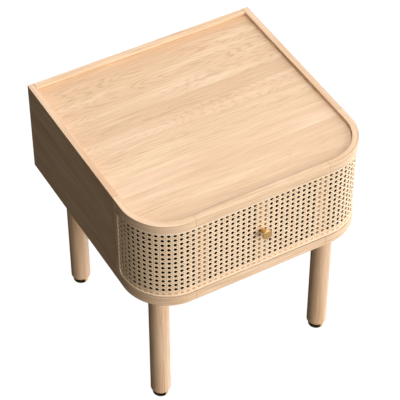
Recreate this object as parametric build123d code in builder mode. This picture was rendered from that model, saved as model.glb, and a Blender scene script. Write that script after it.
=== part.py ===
from build123d import *
import os

os.makedirs("parts", exist_ok=True)

# Case: an oak box with two rounded front corners and a shallow tray top, on four round legs.
# +X is to the user's right, the front faces -Y, and Z = 0 is the floor.
width = 465.0
depth = 450.0
height = 500.0
corner_radius = 88.0
case_bottom = 302.0
side_thickness = 18.0

# The rim round the tray top is thinner than the sides below it.
rim_thickness = 12.0
tray_depth = 7.0
rail_height = 17.0
lower_rail_height = 20.5
rail_thickness = 18.0
rail_joint_x = 133.8
side_joint = 117.5
edge_round = 0.6

# Top panel, held by a tongue in a groove round the rim
tongue = 4.0
groove_bottom = 485.5
groove_height = 5.0

# Bottom and back panels
bottom_thickness = 18.0
back_thickness = 6.0
back_inset = 2.0
back_rabbet = 6.0

# Drawer opening, and the drawer front that fills it
opening_gap = 1.5
opening_radius = 15.0
front_end = 105.6
end_gap = 1.2
bead_width = 3.5
bead_inset = 0.6
cane_inset = 1.6
frame_inset = 3.0
frame_thickness = 13.0
frame_rail_height = 12.0
frame_rebate_depth = 6.0
frame_rebate_height = 8.0
stile_width = 22.0
batten_x = 121.6
end_stile_far = 15.5
end_stile_width = 12.5

# Drawer box behind the cane front
slide_gap = 10.0
box_front_inset = 50.0
box_thickness = 12.0
box_bottom = 330.0
box_height = 130.0
box_length = 370.0
floor_thickness = 6.0
floor_drop = 10.0
floor_groove = 5.0
spacer_height = 60.0
spacer_bottom = 365.0

# Knob
knob_reach = 14.5
knob_radius = 10.0
knob_stem_radius = 4.2
knob_z = 407.0

# Legs and glides
leg_radius = 19.0
leg_side_inset = 59.0
leg_front_inset = 68.5
leg_back_inset = 47.5
leg_chamfer = 4.0
glide_radius = 15.5
glide_height = 11.0
glide_round = 1.0
glide_pin_radius = 3.0
glide_pin_length = 16.0
bolt_radius = 4.0
insert_radius = 6.0
insert_height = 14.0
bolt_in_leg = 40.0

# Ball-bearing drawer slides
slide_length = 300.0
slide_start = 112.0
slide_z = 395.0
slide_height = 27.0
slide_metal = 1.2
slide_lip = 8.0
member_height = 16.2
member_lip = 7.5
ball_radius = 1.9
ball_pitch = 14.0
ball_count = 5
cage_length = 75.0
cage_start = 224.5
cage_metal = 0.6

# Dowels and screws
rail_dowel_radius = 2.5
rail_dowel_length = 24.0
rail_dowel_z = 491.6
panel_dowel_radius = 4.0
panel_dowel_length = 28.0
screw_radius = 1.75
screw_head_radius = 3.4
screw_head_height = 1.6
back_screw_length = 20.0
slide_screw_length = 11.0
spacer_screw_length = 30.0

# Places worked out from the driving dimensions
front_y = -(depth + knob_reach) / 2 + knob_reach
back_y = front_y + depth
half_width = width / 2
tray_z = height - tray_depth
rail_bottom = height - rail_height
opening_bottom = case_bottom + lower_rail_height
side_joint_y = front_y + side_joint
opening_end_y = front_y + front_end + end_gap
side_inner_x = half_width - side_thickness
rim_inner_x = half_width - rim_thickness
front_top = rail_bottom - opening_gap
front_bottom = opening_bottom + opening_gap
front_end_y = front_y + front_end
front_radius = opening_radius - end_gap
box_x = side_inner_x - slide_gap
box_front_y = front_y + box_front_inset
box_back_y = box_front_y + box_length
floor_z = box_bottom + floor_drop
leg_x = half_width - leg_side_inset
leg_places = {
    "front_left": (-leg_x, front_y + leg_front_inset),
    "front_right": (leg_x, front_y + leg_front_inset),
    "back_left": (-leg_x, back_y - leg_back_inset),
    "back_right": (leg_x, back_y - leg_back_inset),
}
sides = {"left": -1, "right": 1}


def finish(part, name):
    """Label a finished piece and write it to its own file."""
    part.label = name
    export_step(part, f"parts/{name}.step")


def plan(inset, end_y):
    """Plan of the case, inset from its outer face, with the two front corners rounded."""
    start_y = front_y + inset
    with BuildSketch() as outline:
        with Locations((0, (start_y + end_y) / 2)):
            Rectangle(width - 2 * inset, end_y - start_y)
        fillet(outline.vertices().group_by(Axis.Y)[0], corner_radius - inset)
    return outline.sketch


def band(outer_inset, inner_inset, end_y):
    """Strip of even thickness that follows the case's outer face, seen in plan."""
    with BuildSketch() as strip:
        add(plan(outer_inset, end_y))
        add(plan(inner_inset, end_y + 1), mode=Mode.SUBTRACT)
    return strip.sketch


def front_side_view(margin):
    """Side view (Y, Z) of the drawer front, drawn in by margin, with its two back corners round."""
    low_y = front_y - 5
    high_y = front_end_y - margin
    with BuildSketch() as outline:
        with Locations(((low_y + high_y) / 2, (front_top + front_bottom) / 2)):
            Rectangle(high_y - low_y, front_top - front_bottom - 2 * margin)
        fillet(outline.vertices().group_by(Axis.X)[-1], front_radius - margin)
    return outline.sketch


def slab(x_range, y_range):
    """Rectangle between two X values and two Y values."""
    with BuildSketch() as outline:
        with Locations(((x_range[0] + x_range[1]) / 2, (y_range[0] + y_range[1]) / 2)):
            Rectangle(abs(x_range[1] - x_range[0]), abs(y_range[1] - y_range[0]))
    return outline.sketch


def rods(places, radius, length):
    """Round rods, each given by its centre and the axis that it lies along."""
    turns = {"X": (0, 90, 0), "Y": (90, 0, 0), "Z": (0, 0, 0)}
    with BuildPart() as group:
        for place, axis in places:
            with Locations(place):
                Cylinder(radius, length, rotation=turns[axis])
    return group.part


def screws(places, length):
    """Countersunk screws, each given by its head's centre and the direction it is driven in."""
    with BuildPart() as group:
        for place, direction in places:
            with BuildSketch(Plane(place, z_dir=direction)):
                Circle(screw_radius)
            extrude(amount=length)
            with BuildSketch(Plane(place, z_dir=direction)):
                Circle(screw_head_radius)
            extrude(amount=screw_head_height)
    return group.part


# Dowels that join the rails, and those that join the bottom panel to the sides
upper_line = 4.2
lower_line = rail_thickness / 2
lower_dowel_z = case_bottom + lower_rail_height / 2
rail_dowel_places = []
for sign in sides.values():
    rail_dowel_places += [
        ((sign * rail_joint_x, front_y + upper_line, rail_dowel_z), "X"),
        ((sign * rail_joint_x, front_y + lower_line, lower_dowel_z), "X"),
        ((sign * (half_width - upper_line), side_joint_y, rail_dowel_z), "Y"),
        ((sign * (half_width - lower_line), side_joint_y, lower_dowel_z), "Y"),
    ]
panel_dowel_places = []
for sign in sides.values():
    for y in (front_y + 150, front_y + 270, front_y + 390):
        panel_dowel_places.append(((sign * side_inner_x, y, case_bottom + bottom_thickness / 2), "X"))
rail_dowels = rods(rail_dowel_places, rail_dowel_radius, rail_dowel_length)
panel_dowels = rods(panel_dowel_places, panel_dowel_radius, panel_dowel_length)
finish(rail_dowels, "rail_dowels")
finish(panel_dowels, "panel_dowels")

# Screws: back panel to case, slides to case and drawer, drawer box to the spacers behind its front
back_panel_y = back_y - back_inset
back_screw_places = []
for x in (-150, 0, 150):
    back_screw_places.append(((x, back_panel_y, case_bottom + bottom_thickness / 2), (0, -1, 0)))
case_screw_places = []
drawer_screw_places = []
spacer_screw_places = []
slide_y = front_y + slide_start
for sign in sides.values():
    for z in (350, 450):
        back_screw_places.append(((sign * (side_inner_x + back_rabbet / 2), back_panel_y, z), (0, -1, 0)))
    for y in (slide_y + 35, slide_y + slide_length - 35):
        case_screw_places.append(((sign * (side_inner_x - slide_metal), y, slide_z), (sign, 0, 0)))
        drawer_screw_places.append(((sign * (box_x + slide_metal), y, slide_z), (-sign, 0, 0)))
    for z in (spacer_bottom + 15, spacer_bottom + 45):
        spacer_screw_places.append(((sign * batten_x, box_front_y + box_thickness, z), (0, -1, 0)))
back_panel_screws = screws(back_screw_places, back_screw_length)
slide_case_screws = screws(case_screw_places, slide_screw_length)
with BuildPart() as drawer_screws:
    add(screws(drawer_screw_places, slide_screw_length))
    add(screws(spacer_screw_places, spacer_screw_length))
finish(back_panel_screws, "back_panel_screws")
finish(slide_case_screws, "slide_case_screws")
finish(drawer_screws.part, "drawer_screws")

# Groove that runs round the inside of the rim for the top panel's tongue
tongue_inset = rim_thickness - tongue
with BuildPart() as groove:
    with BuildSketch(Plane.XY.offset(groove_bottom)):
        add(plan(tongue_inset, back_y - tongue_inset))
    extrude(amount=groove_height)

# Sides: thick below, thinned to the rim at the top, rabbeted at the back for the back panel
for name, sign in sides.items():
    with BuildPart() as side_panel:
        with BuildSketch(Plane.XY.offset(case_bottom)):
            add(slab((sign * side_inner_x, sign * half_width), (side_joint_y, back_y)))
        extrude(amount=height - case_bottom)
        with BuildSketch(Plane.XY.offset(rail_bottom)):
            add(slab((sign * side_inner_x, sign * rim_inner_x), (side_joint_y, back_y)))
        extrude(amount=rail_height, mode=Mode.SUBTRACT)
        lengthwise = side_panel.edges().filter_by(Axis.Y)
        outer_bottom = lengthwise.group_by(Axis.Z)[0].sort_by(lambda edge: abs(edge.center().X))[-1]
        fillet(lengthwise.group_by(Axis.Z)[-1] + outer_bottom, edge_round)
        with BuildSketch(Plane.XY.offset(case_bottom)):
            add(slab((sign * side_inner_x, sign * (side_inner_x + back_rabbet)),
                     (back_y - back_inset - back_thickness, back_y)))
        extrude(amount=rail_bottom - case_bottom, mode=Mode.SUBTRACT)
        add(groove.part, mode=Mode.SUBTRACT)
        add(rail_dowels, mode=Mode.SUBTRACT)
        add(panel_dowels, mode=Mode.SUBTRACT)
        add(back_panel_screws, mode=Mode.SUBTRACT)
        add(slide_case_screws, mode=Mode.SUBTRACT)
    finish(side_panel.part, f"side_panel_{name}")

def away_from_joints(edge):
    """True for an edge that isn't on one of the faces where the rails are joined."""
    place = edge.center()
    return abs(abs(place.X) - rail_joint_x) > 0.01 and abs(place.Y - side_joint_y) > 0.01


def on_outer_face(edge):
    """True for an edge whose ends lie on the case's outer face."""
    place = edge.start_point()
    beside = abs(place.X) - (half_width - corner_radius)
    ahead = front_y + corner_radius - place.Y
    return max(beside, ahead, (max(beside, 0) ** 2 + max(ahead, 0) ** 2) ** 0.5) > corner_radius - 0.01


# Side view of the drawer opening, with its rounded back corners
with BuildSketch() as opening_view:
    with Locations(((front_y - 5 + opening_end_y) / 2, (rail_bottom + opening_bottom) / 2)):
        Rectangle(opening_end_y - front_y + 5, rail_bottom - opening_bottom)
    fillet(opening_view.vertices().group_by(Axis.X)[-1], opening_radius)
ear_top = rail_bottom - opening_radius
ear_bottom = opening_bottom + opening_radius
ear_y = opening_end_y - opening_radius

# Corner rails: quarter rounds above and below the drawer, each with a short ear that meets the post
for name, sign in sides.items():
    outside = (sign * rail_joint_x, sign * half_width)
    with BuildPart() as upper_corner:
        with BuildSketch(Plane.XY.offset(rail_bottom)):
            add(band(0, rim_thickness, side_joint_y))
            add(slab(outside, (front_y, side_joint_y)), mode=Mode.INTERSECT)
        extrude(amount=rail_height)
        top_edges = upper_corner.edges().group_by(Axis.Z)[-1]
        fillet(top_edges.filter_by(away_from_joints), edge_round)
        with BuildSketch(Plane.XY.offset(ear_top)):
            add(slab((sign * side_inner_x, sign * half_width), (ear_y, side_joint_y)))
        extrude(amount=opening_radius)
        with BuildSketch(Plane.YZ):
            add(opening_view.sketch)
        extrude(amount=half_width, both=True, mode=Mode.SUBTRACT)
        add(groove.part, mode=Mode.SUBTRACT)
        add(rail_dowels, mode=Mode.SUBTRACT)
    finish(upper_corner.part, f"upper_corner_rail_{name}")

    with BuildPart() as lower_corner:
        with BuildSketch(Plane.XY.offset(case_bottom)):
            add(band(0, rail_thickness, side_joint_y))
            add(slab(outside, (front_y, side_joint_y)), mode=Mode.INTERSECT)
        extrude(amount=lower_rail_height)
        bottom_edges = lower_corner.edges().group_by(Axis.Z)[0].filter_by(away_from_joints)
        fillet(bottom_edges.filter_by(on_outer_face), edge_round)
        with BuildSketch(Plane.XY.offset(opening_bottom)):
            add(slab((sign * side_inner_x, sign * half_width), (ear_y, side_joint_y)))
        extrude(amount=opening_radius)
        with BuildSketch(Plane.YZ):
            add(opening_view.sketch)
        extrude(amount=half_width, both=True, mode=Mode.SUBTRACT)
        add(rail_dowels, mode=Mode.SUBTRACT)
    finish(lower_corner.part, f"lower_corner_rail_{name}")

    with BuildPart() as post:
        with BuildSketch(Plane.XY.offset(ear_bottom)):
            add(slab((sign * side_inner_x, sign * half_width), (opening_end_y, side_joint_y)))
        extrude(amount=ear_top - ear_bottom)
    finish(post.part, f"front_post_{name}")

# Straight rails above and below the drawer, and the rail across the back of the tray
with BuildPart() as upper_front_rail:
    with BuildSketch(Plane.XY.offset(rail_bottom)):
        add(slab((-rail_joint_x, rail_joint_x), (front_y, front_y + rim_thickness)))
    extrude(amount=rail_height)
    fillet(upper_front_rail.edges().filter_by(Axis.X).group_by(Axis.Z)[-1], edge_round)
    add(groove.part, mode=Mode.SUBTRACT)
    add(rail_dowels, mode=Mode.SUBTRACT)
finish(upper_front_rail.part, "upper_front_rail")

with BuildPart() as lower_front_rail:
    with BuildSketch(Plane.XY.offset(case_bottom)):
        add(slab((-rail_joint_x, rail_joint_x), (front_y, front_y + rail_thickness)))
    extrude(amount=lower_rail_height)
    lowest = lower_front_rail.edges().filter_by(Axis.X).group_by(Axis.Z)[0]
    fillet(lowest.sort_by(Axis.Y)[0], edge_round)
    add(rail_dowels, mode=Mode.SUBTRACT)
finish(lower_front_rail.part, "lower_front_rail")

with BuildPart() as back_upper_rail:
    with BuildSketch(Plane.XY.offset(rail_bottom)):
        add(slab((-rim_inner_x, rim_inner_x), (back_y - rim_thickness, back_y)))
    extrude(amount=rail_height)
    fillet(back_upper_rail.edges().filter_by(Axis.X).group_by(Axis.Z)[-1], edge_round)
    add(groove.part, mode=Mode.SUBTRACT)
finish(back_upper_rail.part, "back_upper_rail")

# Top panel: a board of glued staves, with a tongue all round
with BuildPart() as top_panel:
    with BuildSketch(Plane.XY.offset(rail_bottom)):
        add(plan(rim_thickness, back_y - rim_thickness))
    extrude(amount=tray_z - rail_bottom)
    with BuildSketch(Plane.XY.offset(groove_bottom)):
        add(plan(tongue_inset, back_y - tongue_inset))
    extrude(amount=groove_height)
finish(top_panel.part, "top_panel")

# Bottom panel, bored for the dowels and for the threaded inserts that take the leg bolts
with BuildPart() as bottom_panel:
    with BuildSketch(Plane.XY.offset(case_bottom)):
        add(plan(rail_thickness, back_y - back_inset - back_thickness))
    extrude(amount=bottom_thickness)
    with BuildSketch(Plane.XY.offset(case_bottom)):
        with Locations(*leg_places.values()):
            Circle(insert_radius)
    extrude(amount=insert_height, mode=Mode.SUBTRACT)
    add(panel_dowels, mode=Mode.SUBTRACT)
    add(back_panel_screws, mode=Mode.SUBTRACT)
finish(bottom_panel.part, "bottom_panel")

# Back panel, in the rabbets of the sides
back_half = side_inner_x + back_rabbet
with BuildPart() as back_panel:
    with BuildSketch(Plane.XY.offset(case_bottom)):
        add(slab((-back_half, back_half), (back_panel_y - back_thickness, back_panel_y)))
    extrude(amount=rail_bottom - case_bottom)
    add(back_panel_screws, mode=Mode.SUBTRACT)
finish(back_panel.part, "back_panel")

# Legs: plain turned rods with an eased foot, each hung on a bolt and standing on a glide
for name, (x, y) in leg_places.items():
    with BuildPart() as leg:
        with BuildSketch(Plane.XY.offset(glide_height)):
            with Locations((x, y)):
                Circle(leg_radius)
        extrude(amount=case_bottom - glide_height)
        fillet(leg.edges().group_by(Axis.Z)[0], leg_chamfer)
        with BuildSketch(Plane.XY.offset(case_bottom - bolt_in_leg)):
            with Locations((x, y)):
                Circle(bolt_radius)
        extrude(amount=bolt_in_leg, mode=Mode.SUBTRACT)
        with BuildSketch(Plane.XY.offset(glide_height)):
            with Locations((x, y)):
                Circle(glide_pin_radius)
        extrude(amount=glide_pin_length, mode=Mode.SUBTRACT)
    finish(leg.part, f"leg_{name}")

    with BuildPart() as glide:
        with BuildSketch():
            with Locations((x, y)):
                Circle(glide_radius)
        extrude(amount=glide_height)
        fillet(glide.edges().group_by(Axis.Z)[0], glide_round)
        with BuildSketch(Plane.XY.offset(glide_height)):
            with Locations((x, y)):
                Circle(glide_pin_radius)
        extrude(amount=glide_pin_length)
    finish(glide.part, f"foot_glide_{name}")

bolt_in_panel = 12.0
with BuildPart() as leg_bolts:
    with BuildSketch(Plane.XY.offset(case_bottom - bolt_in_leg)):
        with Locations(*leg_places.values()):
            Circle(bolt_radius)
    extrude(amount=bolt_in_leg + bolt_in_panel)
finish(leg_bolts.part, "leg_bolts")

with BuildPart() as threaded_inserts:
    with BuildSketch(Plane.XY.offset(case_bottom)):
        with Locations(*leg_places.values()):
            Circle(insert_radius)
            Circle(bolt_radius, mode=Mode.SUBTRACT)
    extrude(amount=insert_height)
finish(threaded_inserts.part, "threaded_inserts")

# Drawer slides: an outer channel on the case, an inner channel on the drawer, balls between them
ball_line = (slide_height / 2 - slide_metal + member_height / 2) / 2
ball_x = 5.2
for name, sign in sides.items():
    with BuildPart() as case_channel:
        with BuildSketch(Plane.XZ.offset(-slide_y)):
            with Locations((sign * (side_inner_x - slide_lip / 2), slide_z)):
                Rectangle(slide_lip, slide_height)
            with Locations((sign * (side_inner_x - slide_metal - slide_lip / 2), slide_z)):
                Rectangle(slide_lip, slide_height - 2 * slide_metal, mode=Mode.SUBTRACT)
        extrude(amount=-slide_length)
        add(slide_case_screws, mode=Mode.SUBTRACT)

    with BuildPart() as drawer_channel:
        with BuildSketch(Plane.XZ.offset(-slide_y)):
            with Locations((sign * (box_x + member_lip / 2), slide_z)):
                Rectangle(member_lip, member_height)
            with Locations((sign * (box_x + slide_metal + member_lip / 2), slide_z)):
                Rectangle(member_lip, member_height - 2 * slide_metal, mode=Mode.SUBTRACT)
        extrude(amount=-slide_length)
        add(drawer_screws.part, mode=Mode.SUBTRACT)

    # Cage: a thin channel between the two, with a row of balls in its upper and its lower lip
    cage_y = front_y + cage_start
    cage_outer = side_inner_x - slide_metal - 0.3
    cage_reach = 6.4
    cage_height = 2 * ball_line + cage_metal
    ball_places = []
    for row in (-1, 1):
        for step in range(ball_count):
            ball_y = cage_y + cage_length / 2 + (step - (ball_count - 1) / 2) * ball_pitch
            ball_places.append((sign * (side_inner_x - ball_x), ball_y, slide_z + row * ball_line))
    with BuildPart() as balls:
        with Locations(*ball_places):
            Sphere(ball_radius)
    with BuildPart() as cage:
        with BuildSketch(Plane.XZ.offset(-cage_y)):
            with Locations((sign * (cage_outer - cage_reach / 2), slide_z)):
                Rectangle(cage_reach, cage_height)
            with Locations((sign * (cage_outer - cage_metal - cage_reach / 2), slide_z)):
                Rectangle(cage_reach, cage_height - 2 * cage_metal, mode=Mode.SUBTRACT)
        extrude(amount=-cage_length)
        with BuildSketch(Plane.XY.offset(slide_z - cage_height)):
            with Locations(*[place[:2] for place in ball_places[:ball_count]]):
                Circle(ball_radius + 0.05)
        extrude(amount=2 * cage_height, mode=Mode.SUBTRACT)
    finish(balls.part, f"bearing_balls_{name}")
    finish(cage.part, f"ball_cage_{name}")
    finish(case_channel.part, f"slide_case_channel_{name}")
    finish(drawer_channel.part, f"slide_drawer_channel_{name}")

# Drawer front: curved rails and stiles that carry one sheet of cane, edged with a bead
with BuildPart() as front_limit:
    with BuildSketch(Plane.YZ):
        add(front_side_view(0))
    extrude(amount=half_width, both=True)
frame_back = frame_inset + frame_thickness
rail_levels = {"upper": front_top - frame_rail_height, "lower": front_bottom}

# The upper rails are rebated below their front edge, so that they don't show through the cane's top row
with BuildPart() as frame_rebate:
    with BuildSketch(Plane.XY.offset(rail_levels["upper"])):
        add(band(frame_inset, frame_inset + frame_rebate_depth, front_end_y))
    extrude(amount=frame_rebate_height)

for level, level_z in rail_levels.items():
    with BuildPart() as front_rail:
        with BuildSketch(Plane.XY.offset(level_z)):
            add(slab((-rail_joint_x, rail_joint_x), (front_y + frame_inset, front_y + frame_back)))
        extrude(amount=frame_rail_height)
        add(frame_rebate.part, mode=Mode.SUBTRACT)
    finish(front_rail.part, f"drawer_front_{level}_rail")
    for name, sign in sides.items():
        with BuildPart() as front_corner:
            with BuildSketch(Plane.XY.offset(level_z)):
                add(band(frame_inset, frame_back, front_end_y))
                add(slab((sign * rail_joint_x, sign * half_width), (front_y, front_end_y)), mode=Mode.INTERSECT)
            extrude(amount=frame_rail_height)
            add(front_limit.part, mode=Mode.INTERSECT)
            add(frame_rebate.part, mode=Mode.SUBTRACT)
        finish(front_corner.part, f"drawer_front_{level}_corner_{name}")

# Each stile stands on the lower rail and is lapped into the upper rail's rebate
stile_bottom = front_bottom + frame_rail_height
stile_height = front_top - front_bottom - 2 * frame_rail_height
stile_places = {"batten_left": -batten_x, "centre_stile": 0.0, "batten_right": batten_x}
knob_screw_radius = 2.0
for name, x in stile_places.items():
    with BuildPart() as stile:
        with BuildSketch(Plane.XY.offset(stile_bottom)):
            add(slab((x - stile_width / 2, x + stile_width / 2), (front_y + frame_inset, front_y + frame_back)))
        extrude(amount=stile_height + frame_rebate_height)
        with BuildSketch(Plane.XY.offset(rail_levels["upper"])):
            add(band(frame_inset + frame_rebate_depth, frame_back, front_end_y))
        extrude(amount=frame_rebate_height, mode=Mode.SUBTRACT)
        with BuildSketch(Plane.XZ.offset(-front_y)):
            with Locations((0, knob_z)):
                Circle(knob_screw_radius)
        extrude(amount=-frame_back - 1, mode=Mode.SUBTRACT)
    finish(stile.part, f"drawer_front_{name}")

end_stile_y = (front_end_y - end_stile_far - end_stile_width, front_end_y - end_stile_far)
for name, sign in sides.items():
    with BuildPart() as end_stile:
        with BuildSketch(Plane.XY.offset(stile_bottom)):
            add(band(frame_inset, frame_back, front_end_y))
            add(slab((0, sign * half_width), end_stile_y), mode=Mode.INTERSECT)
        extrude(amount=stile_height + frame_rebate_height)
        with BuildSketch(Plane.XY.offset(rail_levels["upper"])):
            add(band(frame_inset + frame_rebate_depth, frame_back, front_end_y))
        extrude(amount=frame_rebate_height, mode=Mode.SUBTRACT)
    finish(end_stile.part, f"drawer_front_end_stile_{name}")

cane_margin = 1.0
with BuildPart() as cane_webbing:
    with BuildSketch(Plane.XY.offset(front_bottom)):
        add(band(cane_inset, frame_inset, front_end_y))
    extrude(amount=front_top - front_bottom)
    with BuildSketch(Plane.YZ):
        add(front_side_view(cane_margin))
    extrude(amount=half_width, both=True, mode=Mode.INTERSECT)
    with BuildSketch(Plane.XZ.offset(-front_y)):
        with Locations((0, knob_z)):
            Circle(knob_screw_radius)
    extrude(amount=-frame_inset - 1, mode=Mode.SUBTRACT)
finish(cane_webbing.part, "cane_webbing")

with BuildPart() as cane_bead:
    with BuildSketch(Plane.XY.offset(front_bottom)):
        add(band(bead_inset, frame_inset, front_end_y))
    extrude(amount=front_top - front_bottom)
    add(front_limit.part, mode=Mode.INTERSECT)
    with BuildSketch(Plane.YZ):
        add(front_side_view(bead_width))
    extrude(amount=half_width, both=True, mode=Mode.SUBTRACT)
    add(cane_webbing.part, mode=Mode.SUBTRACT)
finish(cane_bead.part, "cane_bead")

# Knob: a flat disc on a flared stem, turned in one piece, with a blind hole for its screw
cane_face_y = front_y + cane_inset
head_y = front_y - knob_reach
knob_screw_depth = 8.0
with BuildPart() as knob:
    with BuildSketch(Plane.YZ):
        with BuildLine():
            Polyline((cane_face_y, knob_z), (cane_face_y, knob_z + knob_stem_radius),
                     (head_y + 8, knob_z + knob_stem_radius))
            TangentArc((head_y + 8, knob_z + knob_stem_radius), (head_y + 3.4, knob_z + knob_radius - 0.9),
                       tangent=(-1, 0))
            Polyline((head_y + 3.4, knob_z + knob_radius - 0.9), (head_y + 2.6, knob_z + knob_radius),
                     (head_y + 0.7, knob_z + knob_radius), (head_y, knob_z + knob_radius - 0.7),
                     (head_y, knob_z), (cane_face_y, knob_z))
        make_face()
    revolve(axis=Axis((0, 0, knob_z), (0, 1, 0)))
    with BuildSketch(Plane.XZ.offset(-cane_face_y)):
        with Locations((0, knob_z)):
            Circle(knob_screw_radius)
    extrude(amount=knob_screw_depth, mode=Mode.SUBTRACT)
finish(knob.part, "knob")

screw_back_y = front_y + frame_back
with BuildPart() as knob_screw:
    with BuildSketch(Plane.XZ.offset(-screw_back_y)):
        with Locations((0, knob_z)):
            Circle(knob_screw_radius)
    extrude(amount=screw_back_y - cane_face_y + knob_screw_depth)
    with BuildSketch(Plane.XZ.offset(-screw_back_y)):
        with Locations((0, knob_z)):
            Circle(4.2)
    extrude(amount=-2.4)
finish(knob_screw.part, "knob_screw")

# Drawer box: two sides, a front and a back, with a thin floor in a groove
floor_half = box_x - box_thickness + floor_groove
with BuildPart() as drawer_floor:
    with BuildSketch(Plane.XY.offset(floor_z)):
        add(slab((-floor_half, floor_half), (box_front_y + box_thickness - floor_groove,
                                              box_back_y - box_thickness + floor_groove)))
    extrude(amount=floor_thickness)
finish(drawer_floor.part, "drawer_floor")

for name, sign in sides.items():
    with BuildPart() as drawer_side:
        with BuildSketch(Plane.XY.offset(box_bottom)):
            add(slab((sign * (box_x - box_thickness), sign * box_x), (box_front_y, box_back_y)))
        extrude(amount=box_height)
        fillet(drawer_side.edges().filter_by(Axis.Y).group_by(Axis.Z)[-1], edge_round)
        add(drawer_floor.part, mode=Mode.SUBTRACT)
        add(drawer_screws.part, mode=Mode.SUBTRACT)
    finish(drawer_side.part, f"drawer_side_{name}")

# Spacer blocks tie the cane front to the drawer box; screws through the box front hold them
for name, sign in sides.items():
    with BuildPart() as spacer:
        with BuildSketch(Plane.XY.offset(spacer_bottom)):
            add(slab((sign * batten_x - stile_width / 2, sign * batten_x + stile_width / 2),
                     (front_y + frame_back, box_front_y)))
        extrude(amount=spacer_height)
        add(drawer_screws.part, mode=Mode.SUBTRACT)
    finish(spacer.part, f"drawer_front_spacer_{name}")

# Liner: black cloth glued to the back of the frame, so that the drawer box doesn't show through the cane
liner_thickness = 0.6
liner_margin = 4.0
with BuildPart() as liner:
    with BuildSketch(Plane.XY.offset(front_bottom + liner_margin)):
        add(band(frame_back, frame_back + liner_thickness, front_end_y - liner_margin))
    extrude(amount=front_top - front_bottom - 2 * liner_margin)
    for sign in sides.values():
        with BuildSketch(Plane.XY.offset(spacer_bottom)):
            add(slab((sign * batten_x - stile_width / 2, sign * batten_x + stile_width / 2),
                     (front_y + frame_back, box_front_y)))
        extrude(amount=spacer_height, mode=Mode.SUBTRACT)
    add(knob_screw.part, mode=Mode.SUBTRACT)
finish(liner.part, "drawer_front_liner")

ends = {
    "drawer_box_front": (box_front_y, box_front_y + box_thickness),
    "drawer_back": (box_back_y - box_thickness, box_back_y),
}
for name, y_range in ends.items():
    with BuildPart() as box_end:
        with BuildSketch(Plane.XY.offset(box_bottom)):
            add(slab((box_thickness - box_x, box_x - box_thickness), y_range))
        extrude(amount=box_height)
        fillet(box_end.edges().filter_by(Axis.X).group_by(Axis.Z)[-1], edge_round)
        add(drawer_floor.part, mode=Mode.SUBTRACT)
        add(drawer_screws.part, mode=Mode.SUBTRACT)
    finish(box_end.part, name)
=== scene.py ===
import math

import bpy
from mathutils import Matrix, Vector


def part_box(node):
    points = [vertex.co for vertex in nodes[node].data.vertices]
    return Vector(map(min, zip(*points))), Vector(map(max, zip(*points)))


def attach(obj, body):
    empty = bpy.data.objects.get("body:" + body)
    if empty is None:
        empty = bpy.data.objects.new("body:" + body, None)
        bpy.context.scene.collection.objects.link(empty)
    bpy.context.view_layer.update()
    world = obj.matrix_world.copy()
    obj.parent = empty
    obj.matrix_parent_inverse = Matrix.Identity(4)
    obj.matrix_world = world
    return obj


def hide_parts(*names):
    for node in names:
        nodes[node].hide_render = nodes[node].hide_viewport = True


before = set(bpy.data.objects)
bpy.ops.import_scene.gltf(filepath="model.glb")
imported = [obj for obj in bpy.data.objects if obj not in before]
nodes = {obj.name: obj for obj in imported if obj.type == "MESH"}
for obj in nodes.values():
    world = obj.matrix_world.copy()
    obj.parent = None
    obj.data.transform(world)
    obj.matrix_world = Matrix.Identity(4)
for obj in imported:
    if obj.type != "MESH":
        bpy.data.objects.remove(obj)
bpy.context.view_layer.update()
bpy.ops.object.select_all(action="DESELECT")


# Studio: a plain pale floor with no horizon, a large soft lamp in front and to the right, weaker ones
# overhead, on the right and behind, and a dim room that fills the shadows. Three cards close by light
# nothing, and show only in the gloss of the metal and the lacquer.
scene = bpy.context.scene
scene.view_settings.view_transform = "Standard"
floor_colour = (0.92, 0.92, 0.92, 1.0)
floor_glow = 1.05
floor_drop = 0.0002
room_colour = (1.0, 0.92, 0.80, 1.0)
room_strength = 0.055
white = (1.0, 1.0, 1.0)
lamp_target = Vector((0.0, 0.0, 0.3))
camera_place = (-1.15033, -2.02165, 2.59395)
camera_heading = math.radians(29.565)
camera_dip = math.radians(44.679)
camera_lens = 157.806


def add(tree, kind, inputs=None, **settings):
    """Adds a shader node with its settings. Each input takes a socket or a value."""
    node = tree.nodes.new("ShaderNode" + kind)
    for setting, value in settings.items():
        setattr(node, setting, value)
    for socket, source in (inputs or {}).items():
        if isinstance(source, bpy.types.NodeSocket):
            tree.links.new(source, node.inputs[socket])
        else:
            node.inputs[socket].default_value = source
    return node


def soft_lamp(name, azimuth, elevation, distance, size, power, colour):
    """Adds a square lamp that faces the case. Azimuth runs from the front towards the right."""
    turn = math.radians(azimuth)
    rise = math.radians(elevation)
    away = Vector((math.sin(turn) * math.cos(rise), -math.cos(turn) * math.cos(rise), math.sin(rise)))
    bpy.ops.object.light_add(type="AREA", location=lamp_target + away * distance)
    lamp = bpy.context.object
    lamp.name = name
    lamp.rotation_euler = away.to_track_quat("Z", "Y").to_euler()
    lamp.data.shape = "SQUARE"
    lamp.data.size = size
    lamp.data.energy = power
    lamp.data.color = colour
    return lamp


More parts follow.
